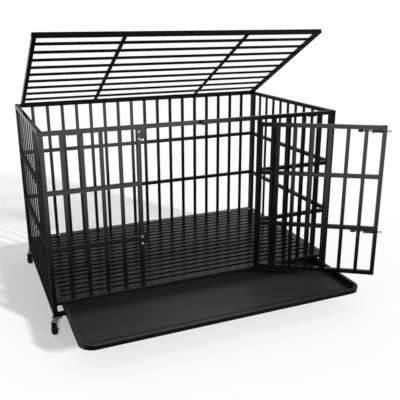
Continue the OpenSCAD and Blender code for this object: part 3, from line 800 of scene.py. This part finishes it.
# Ribs round the lid catch's knob
CATCH_RADIUS = 0.011
CATCH_RIBS = 18
CATCH_RIB_LENGTH = 0.008
CATCH_RIB_RADIUS = 0.0009
CATCH_KNOB_LENGTH = 0.014
rib_profile = ((-0.5, 0.0), (-0.42, 0.8), (-0.3, 1.0), (0.3, 1.0), (0.42, 0.8), (0.5, 0.0))
knob_rib = turned("knob_rib", rib_profile, WELD_SIDES)
catch_ribs = bmesh.new()
for k in range(CATCH_RIBS):
    angle = 2 * pi * k / CATCH_RIBS
    rim = Vector((CATCH_RADIUS * cos(angle), 0, CATCH_RADIUS * sin(angle)))
    centre = Vector((0, front_y - LOOSE - CATCH_KNOB_LENGTH / 2, header_mid)) + rim
    stamp(catch_ribs, knob_rib, centre, ALONG_Y, CATCH_RIB_LENGTH, CATCH_RIB_RADIUS)
dress("lid_catch_ribs", "lid_catch", "black_plastic", catch_ribs)

# The tray's turned-down edge
HEM_DEPTH = 0.020
HEM_THICKNESS = 0.0029
HEM_PROUD = 0.0003
HEM_STEP = 0.0009
HEM_ROUND = 0.0008
HEM_SHARP_ANGLE = 60
TRAY_CORNER = 0.064
TRAY_CORNER_STEPS = 14
LEVEL_SHARE = 0.5


def hem_tray():
    """A smooth band round the tray's edge, a little below the face of its rim."""
    low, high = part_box("tray")
    hem_top = high.z - HEM_STEP
    mesh = bmesh.new()
    add_block(
        mesh,
        Vector((low.x - HEM_PROUD, low.y - HEM_PROUD, hem_top - HEM_DEPTH)),
        Vector((high.x + HEM_PROUD, high.y + HEM_PROUD, hem_top)),
    )
    upright = [edge for edge in mesh.edges if edge.calc_length() < 2 * HEM_DEPTH]
    round_edges(mesh, upright, TRAY_CORNER, TRAY_CORNER_STEPS)
    level = [face for face in mesh.faces if abs(face.normal.z) > LEVEL_SHARE]
    bmesh.ops.delete(mesh, geom=level, context="FACES_ONLY")
    bmesh.ops.solidify(mesh, geom=mesh.faces[:], thickness=HEM_THICKNESS)
    bmesh.ops.recalc_face_normals(mesh, faces=mesh.faces)
    sharp = radians(HEM_SHARP_ANGLE)
    rims = [edge for edge in mesh.edges if edge.calc_face_angle(0.0) > sharp]
    round_edges(mesh, rims, HEM_ROUND)
    dress("tray_hem", "tray", "tray_sheet", mesh)


hem_tray()

# Casters: a rolled rim on the swivel cup, raised rings on the tyre and ridges on the brake's toe
CUP_RADIUS = 0.017
CUP_THICKNESS = 0.003
CUP_BEAD = 0.0013
CUP_STEPS = 36
WHEEL_HALF_WIDTH = 0.010
TYRE_RING_SHARE = 0.86
TYRE_RING = 0.0008
TYRE_STEPS = 40
TOE_RIDGES = 4
TOE_START = 0.016
TOE_PITCH = 0.0042
TOE_TOP = 0.004
TOE_HALF = 0.014
RIDGE_RADIUS = 0.0011
RING_SIDES = 8
wheel_low, wheel_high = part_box("caster_wheel_fl")
wheel_radius = (wheel_high.z - wheel_low.z) / 2


def ring_shape(name, radius, thickness, steps):
    """A thin round ring about X."""
    turns = [2 * pi * k / RING_SIDES for k in range(RING_SIDES)]
    profile = [(thickness * cos(turn), radius + thickness * sin(turn)) for turn in turns]
    return turned(name, profile, steps, closed=True)


cup_ring = ring_shape("cup_ring", CUP_RADIUS, CUP_BEAD, CUP_STEPS)
tyre_ring = ring_shape("tyre_ring", TYRE_RING_SHARE * wheel_radius, TYRE_RING, TYRE_STEPS)


def finish_caster(corner):
    """Details of one caster, each on the body that it moves with."""
    swivel = Vector(joints[f"swivel_{corner}"]["pos_m"])
    axle = Vector(joints[f"wheel_spin_{corner}"]["axis"])
    hub = Vector(joints[f"wheel_spin_{corner}"]["pos_m"])
    pivot = Vector(joints[f"brake_pedal_{corner}"]["pos_m"])
    cup = bmesh.new()
    stamp(cup, cup_ring, Vector((swivel.x, swivel.y, -CUP_THICKNESS / 2)), UP)
    dress(f"caster_cup_rim_{corner}", "frame", "zinc_plate", cup)
    tyre = bmesh.new()
    for side in SIDES:
        stamp(tyre, tyre_ring, hub + axle * side * WHEEL_HALF_WIDTH, axle)
    dress(f"caster_tyre_rings_{corner}", f"wheel_{corner}", "wheel_rubber", tyre)
    ridges = bmesh.new()
    outward = UP.cross(axle)
    for k in range(TOE_RIDGES):
        centre = pivot + outward * (TOE_START + k * TOE_PITCH) + UP * TOE_TOP
        stamp(ridges, knob_rib, centre, axle, 2 * TOE_HALF, RIDGE_RADIUS)
    dress(f"caster_toe_ridges_{corner}", f"brake_{corner}", "black_plastic", ridges)


for corner_name in ("fl", "fr", "rl", "rr"):
    finish_caster(corner_name)


def set_camera():
    """Stands the camera where the photograph was taken from."""
    azimuth, elevation, roll = radians(VIEW_AZIMUTH), radians(VIEW_ELEVATION), radians(VIEW_ROLL)
    back = Vector((sin(azimuth) * cos(elevation), -cos(azimuth) * cos(elevation), sin(elevation)))
    right = UP.cross(back).normalized()
    up = back.cross(right)
    turned_right = right * cos(roll) + up * sin(roll)
    turned_up = up * cos(roll) - right * sin(roll)
    data = bpy.data.cameras.new("camera")
    data.sensor_width = SENSOR_MM
    data.lens = FOCAL_PIXELS / IMAGE_PIXELS * SENSOR_MM
    camera = add_object("camera", data)
    turn = Matrix((turned_right, turned_up, back)).transposed().to_4x4()
    camera.matrix_world = Matrix.Translation(CAMERA_PLACE) @ turn
    bpy.context.scene.camera = camera


WHITE = (1.0, 1.0, 1.0, 1.0)
FLOOR_COLOUR = (0.96, 0.96, 0.96, 1.0)
FLOOR_HALF = 60.0
# How far the floor is lifted to white for the camera, near the crate and beyond it
FLOOR_LIFT = 0.42
FLOOR_FADE_START = 1.9
FLOOR_FADE_END = 4.5
# Light of the surroundings on matt surfaces
WORLD_LIGHT = 0.42
# Brightness of the walls in reflections, by height: 0 straight down, 0.5 level, 1 straight up
WALL_STOPS = ((0.40, 0.15), (0.50, 0.6), (0.60, 1.0), (0.74, 1.0), (0.86, 0.25))
# The walls' brightness by how far to the right they lie: 0.5 straight behind, 1 straight right
WALL_WIDTH_STOPS = ((0.5, 0.18), (0.7, 0.48), (0.76, 0.46), (0.82, 0.3), (1.0, 0.3))
# A pale strip of wall low behind the crate, by height and by how far to the right it lies
STRIP_STOPS = ((0.39, 0.0), (0.42, 0.6), (0.47, 0.6), (0.56, 0.0))
STRIP_WIDTH_STOPS = ((0.30, 0.0), (0.42, 1.0), (0.50, 1.0), (0.56, 0.0))
# A soft glow low at the sides and the back, by height and by how far right and back it lies
GLOW_STOPS = ((0.18, 0.0), (0.28, 1.0), (0.46, 1.0), (0.54, 0.0))
GLOW_WIDTH_STOPS = (
    (0.0, 0.6), (0.1, 0.5), (0.16, 0.14), (0.36, 0.11),
    (0.42, 0.0), (0.52, 0.0), (0.6, 0.3), (0.8, 0.6),
)
GLOW_BACK_STOPS = ((0.4, 0.0), (0.48, 1.0))
# Strength of the lamp, its spread in degrees and the way that it shines
LAMP_ENERGY = 5.2
LAMP_SPREAD = 5
LAMP_TOWARDS = Vector((-1.22, 2.15, -1.0))
# A tall soft panel in front of the crate, seen in its gloss alone, by height and along X in metres
PANEL_LOW = Vector((-1.75, -3.5, -1.7))
PANEL_HIGH = Vector((1.58, -3.5, 1.9))
PANEL_PEAK = 1.5
PANEL_STOPS = (
    (-1.4, 0.0), (-1.1, 0.03), (-0.9, 0.12), (-0.75, 0.33), (-0.57, 0.68),
    (-0.4, 0.99), (-0.2, 1.17), (0.24, 1.29), (1.0, 1.2), (1.9, 0.3),
)
PANEL_SIDE_STOPS = (
    (-1.75, 0.35), (-1.44, 0.67), (-1.25, 0.78), (-1.07, 0.83), (-0.85, 0.91), (-0.2, 1.0),
)
PANEL_BLIND_RAYS = ("camera", "diffuse", "transmission", "shadow", "volume_scatter")


def lay_floor():
    """A wide white floor that keeps the crate's shadow and fades into the white surroundings."""
    mesh = bmesh.new()
    bmesh.ops.create_grid(mesh, x_segments=1, y_segments=1, size=FLOOR_HALF)
    bmesh.ops.translate(mesh, verts=mesh.verts, vec=(0, 0, cad_box[0][2]))
    data = keep_shape("floor", mesh)
    floor = add_object("floor", data)
    paper = Finish("floor_paper")
    matt = paper.node("ShaderNodeBsdfDiffuse", None, {"Color": FLOOR_COLOUR})
    glow = paper.node("ShaderNodeEmission", None, {"Color": WHITE, "Strength": 1.0})
    reach = paper.node("ShaderNodeVectorMath", {"operation": "LENGTH"}, {0: paper.place()})
    near_stop = (FLOOR_FADE_START / FLOOR_FADE_END, FLOOR_LIFT)
    fade = paper.ramp(reach.out("Value") / FLOOR_FADE_END, near_stop, (1.0, 1.0))
    seen = paper.node("ShaderNodeLightPath").out("Is Camera Ray")
    both = paper.node("ShaderNodeMixShader", None, {0: seen * fade, 1: matt.out(), 2: glow.out()})
    paper.node("ShaderNodeOutputMaterial", None, {"Surface": both.out()})
    data.materials.append(paper.owner)
    floor.visible_glossy = False


def hang_panel():
    """The soft panel in front, which only gloss sees."""
    mesh = bmesh.new()
    bmesh.ops.create_grid(mesh, x_segments=1, y_segments=1, size=0.5)
    size, middle = PANEL_HIGH - PANEL_LOW, (PANEL_HIGH + PANEL_LOW) / 2
    bmesh.ops.rotate(mesh, verts=mesh.verts, matrix=Matrix.Rotation(pi / 2, 3, "X"))
    bmesh.ops.scale(mesh, verts=mesh.verts, vec=(size.x, 1.0, size.z))
    bmesh.ops.translate(mesh, verts=mesh.verts, vec=middle)
    data = keep_shape("soft_panel", mesh)
    panel = add_object("soft_panel", data)
    silk = Finish("panel_silk")
    place = silk.axes(silk.place())
    stops = [((z - PANEL_LOW.z) / size.z, grey / PANEL_PEAK) for z, grey in PANEL_STOPS]
    side_stops = [((x - PANEL_LOW.x) / size.x, share) for x, share in PANEL_SIDE_STOPS]
    glow = silk.ramp((place.out("Z") - PANEL_LOW.z) / size.z, *stops)
    glow = glow * silk.ramp((place.out("X") - PANEL_LOW.x) / size.x, *side_stops)
    light = silk.node("ShaderNodeEmission", None, {"Color": glow, "Strength": PANEL_PEAK})
    silk.node("ShaderNodeOutputMaterial", None, {"Surface": light.out()})
    data.materials.append(silk.owner)
    for ray in PANEL_BLIND_RAYS:
        setattr(panel, f"visible_{ray}", False)


def to_share(part):
    """A part of a direction, from -1 to 1, as a share from 0 to 1."""
    return part * 0.5 + 0.5


def hang_lights():
    """White surroundings, dim below and above in reflections, and one broad lamp in front."""
    world = bpy.data.worlds.new("studio")
    bpy.context.scene.world = world
    air = Finish("studio", world)
    path = air.node("ShaderNodeLightPath")
    seen = path.out("Is Camera Ray").larger(path.out("Is Transmission Ray"))
    heading = air.axes(air.node("ShaderNodeTexCoord").out("Generated"))
    height = to_share(heading.out("Z"))
    right = to_share(heading.out("X"))
    behind = heading.out("Y").larger(0.0)
    strip = air.ramp(height, *STRIP_STOPS) * air.ramp(right, *STRIP_WIDTH_STOPS) * behind
    glow = air.ramp(height, *GLOW_STOPS) * air.ramp(right, *GLOW_WIDTH_STOPS)
    glow = glow * air.ramp(to_share(heading.out("Y")), *GLOW_BACK_STOPS)
    walls = air.ramp(height, *WALL_STOPS) * air.ramp(right, *WALL_WIDTH_STOPS) + strip + glow
    shine = path.out("Is Glossy Ray") * (walls - WORLD_LIGHT)
    strength = WORLD_LIGHT + seen * (1.0 - WORLD_LIGHT) + shine
    backdrop = air.node("ShaderNodeBackground", None, {"Color": WHITE, "Strength": strength})
    air.node("ShaderNodeOutputWorld", None, {"Surface": backdrop.out()})
    lamp = bpy.data.lights.new("soft_lamp", "SUN")
    lamp.energy = LAMP_ENERGY
    lamp.angle = radians(LAMP_SPREAD)
    holder = add_object("soft_lamp", lamp)
    holder.visible_glossy = False
    holder.rotation_euler = LAMP_TOWARDS.to_track_quat("-Z", "Y").to_euler()


set_camera()
lay_floor()
hang_panel()
hang_lights()
bpy.context.scene.view_settings.view_transform = "Standard"
